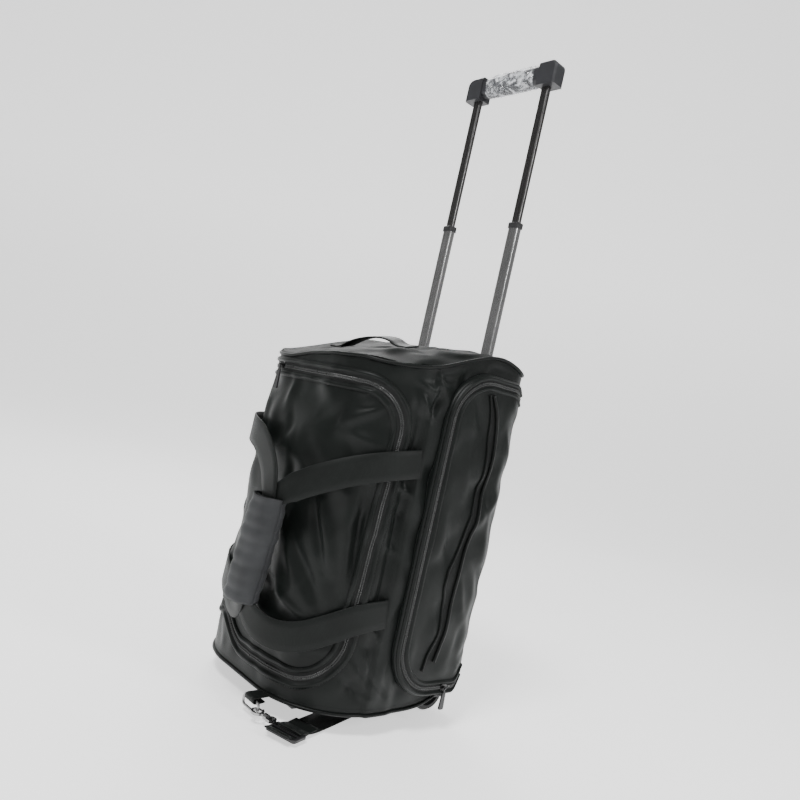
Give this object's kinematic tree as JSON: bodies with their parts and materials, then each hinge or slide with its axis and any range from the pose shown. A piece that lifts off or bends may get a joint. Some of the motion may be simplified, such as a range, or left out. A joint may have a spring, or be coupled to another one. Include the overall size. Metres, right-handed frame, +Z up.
{
  "type": "rolling duffel bag",
  "caption": "Upright rolling duffel: D-shaped fabric body with zipped front flap and side pocket, telescoping trolley handle, carry handles and inset wheels.",
  "frame": {"origin": "bottom centre of the bounding box, on the floor the bag stands on", "axes": "+Z up the bag's length, +X across the trolley tubes towards the side pocket, +Y from the opening flap towards the trolley and wheels"},
  "size_m": [0.3338, 0.3868, 1.0109],
  "materials": {
    "bag_fabric": "woven polyester, slight sheen",
    "zip_tape": "zip tape and coil",
    "webbing": "ribbed webbing",
    "grip_fabric": "padded cuff",
    "board": "stiffener board",
    "moulded_black": "moulded, fine grain",
    "handle_grey": "moulded, satin",
    "button_grey": "satin",
    "clear_film": "crinkled clear film",
    "dark_tube": "gunmetal anodised",
    "silver_tube": "satin anodised",
    "steel_tube": "plain",
    "steel": "nickel plated",
    "zip_metal": "black lacquered",
    "zip_pull": "moulded tab",
    "wheel_hub": "moulded",
    "tyre": "soft rubber"
  },
  "bodies": {
    "bag": {"bag_shell": "bag_fabric", "bag_back_panel": "bag_fabric", "bag_top_end": "bag_fabric", "bag_base_end": "bag_fabric", "main_zip_tape": "zip_tape", "back_board": "board", "pocket_gusset": "bag_fabric", "pocket_zip_tape": "zip_tape", "tube_bezel": "moulded_black", "tube_foot": "moulded_black", "fixed_tube_left": "steel_tube", "fixed_tube_right": "steel_tube", "axle_left": "steel", "axle_right": "steel", "wheel_housing_left": "moulded_black", "wheel_housing_right": "moulded_black", "stand_foot_left": "moulded_black", "stand_foot_right": "moulded_black", "skid_rail_left": "moulded_black", "skid_rail_right": "moulded_black", "top_handle": "webbing", "shoulder_strap": "webbing", "strap_slider": "moulded_black", "lower_ring": "steel", "upper_ring": "steel", "lower_ring_tab": "webbing", "upper_ring_tab": "webbing", "lower_hook": "steel", "upper_hook": "steel"},
    "lower_stage": {"mid_tube_left": "silver_tube", "mid_tube_right": "silver_tube", "mid_collars": "moulded_black", "mid_guides": "moulded_black"},
    "upper_stage": {"inner_tube_left": "dark_tube", "inner_tube_right": "dark_tube", "inner_guides": "moulded_black", "grip_core": "handle_grey", "grip_cap_left": "handle_grey", "grip_cap_right": "handle_grey", "grip_film": "clear_film"},
    "release": {"release_button": "button_grey", "release_yoke": "steel_tube"},
    "left_wheel": {"hub_left": "wheel_hub", "tyre_left": "tyre", "bearings_left": "steel"},
    "right_wheel": {"hub_right": "wheel_hub", "tyre_right": "tyre", "bearings_right": "steel"},
    "flap": {"main_flap": "bag_fabric"},
    "near_handle": {"near_handle_webbing": "webbing", "grip_wrap": "grip_fabric"},
    "far_handle": {"far_handle_webbing": "webbing"},
    "side_flap": {"pocket_flap": "bag_fabric"},
    "front_slider": {"main_zip_slider": "zip_metal"},
    "front_pull": {"main_zip_pull": "zip_pull"},
    "side_slider": {"pocket_zip_slider": "zip_metal"},
    "side_pull": {"pocket_zip_pull": "zip_pull"},
    "lower_gate": {"lower_hook_gate": "steel"},
    "upper_gate": {"upper_hook_gate": "steel"}
  },
  "joints": [
    {"name": "trolley_lower_slide", "type": "slide", "parent": "bag", "child": "lower_stage", "axis": [0, 0, 1], "range_m": [-0.206, 0]},
    {"name": "trolley_upper_slide", "type": "slide", "parent": "lower_stage", "child": "upper_stage", "axis": [0, 0, 1], "range_m": [-0.21, 0]},
    {"name": "release_button_press", "type": "slide", "parent": "upper_stage", "child": "release", "axis": [0, 0, -1], "range_m": [0, 0.004], "stiffness_N_per_m": 900, "springref_m": -0.004},
    {"name": "left_wheel_spin", "type": "hinge", "parent": "bag", "child": "left_wheel", "pos_m": [-0.114, 0.14462, 0.028], "axis": [1, 0, 0], "continuous": true},
    {"name": "right_wheel_spin", "type": "hinge", "parent": "bag", "child": "right_wheel", "pos_m": [0.096, 0.14462, 0.028], "axis": [1, 0, 0], "continuous": true},
    {"name": "main_flap_open", "type": "hinge", "parent": "bag", "child": "flap", "pos_m": [-0.1413, -0.09129, 0.265], "axis": [0, 0, -1], "range_deg": [0, 90]},
    {"name": "near_handle_swing", "type": "hinge", "parent": "bag", "child": "near_handle", "pos_m": [0.1479, -0.01038, 0.262], "axis": [0, 0, 1], "range_deg": [0, 162], "deforming": ["near_handle_webbing"]},
    {"name": "far_handle_swing", "type": "hinge", "parent": "bag", "child": "far_handle", "pos_m": [-0.1659, -0.01038, 0.262], "axis": [0, 0, -1], "range_deg": [0, 162], "deforming": ["far_handle_webbing"]},
    {"name": "pocket_flap_open", "type": "hinge", "parent": "bag", "child": "side_flap", "pos_m": [0.1602, 0.14882, 0.267], "axis": [0, 0, 1], "range_deg": [0, 90]},
    {"name": "main_zip_slide", "type": "slide", "parent": "bag", "child": "front_slider", "axis": [1, 0, 0], "range_m": [0, 0.085]},
    {"name": "main_zip_pull_swing", "type": "hinge", "parent": "front_slider", "child": "front_pull", "pos_m": [-0.049, -0.13818, 0.454], "axis": [-1, 0, 0], "range_deg": [0, 150]},
    {"name": "pocket_zip_slide", "type": "slide", "parent": "bag", "child": "side_slider", "axis": [0, -1, 0], "range_m": [0, 0.03]},
    {"name": "pocket_zip_pull_swing", "type": "hinge", "parent": "side_slider", "child": "side_pull", "pos_m": [0.1648, 0.10662, 0.062], "axis": [0, -1, 0], "range_deg": [0, 150]},
    {"name": "lower_gate_press", "type": "hinge", "parent": "bag", "child": "lower_gate", "pos_m": [0.06994, -0.12839, 0.014], "axis": [0, 0, -1], "range_deg": [0, 18], "stiffness_Nm_per_rad": 0.02, "springref_deg": -17.19},
    {"name": "upper_gate_press", "type": "hinge", "parent": "bag", "child": "upper_gate", "pos_m": [0.0252, 0.19002, 0.5046], "axis": [-1, 0, 0], "range_deg": [0, 18], "stiffness_Nm_per_rad": 0.02, "springref_deg": -17.19}
  ],
  "couplings": [
    {"joint": "near_handle_swing", "follows": "main_flap_open", "ratio": 1.8},
    {"joint": "far_handle_swing", "follows": "main_flap_open", "ratio": 1.8}
  ]
}
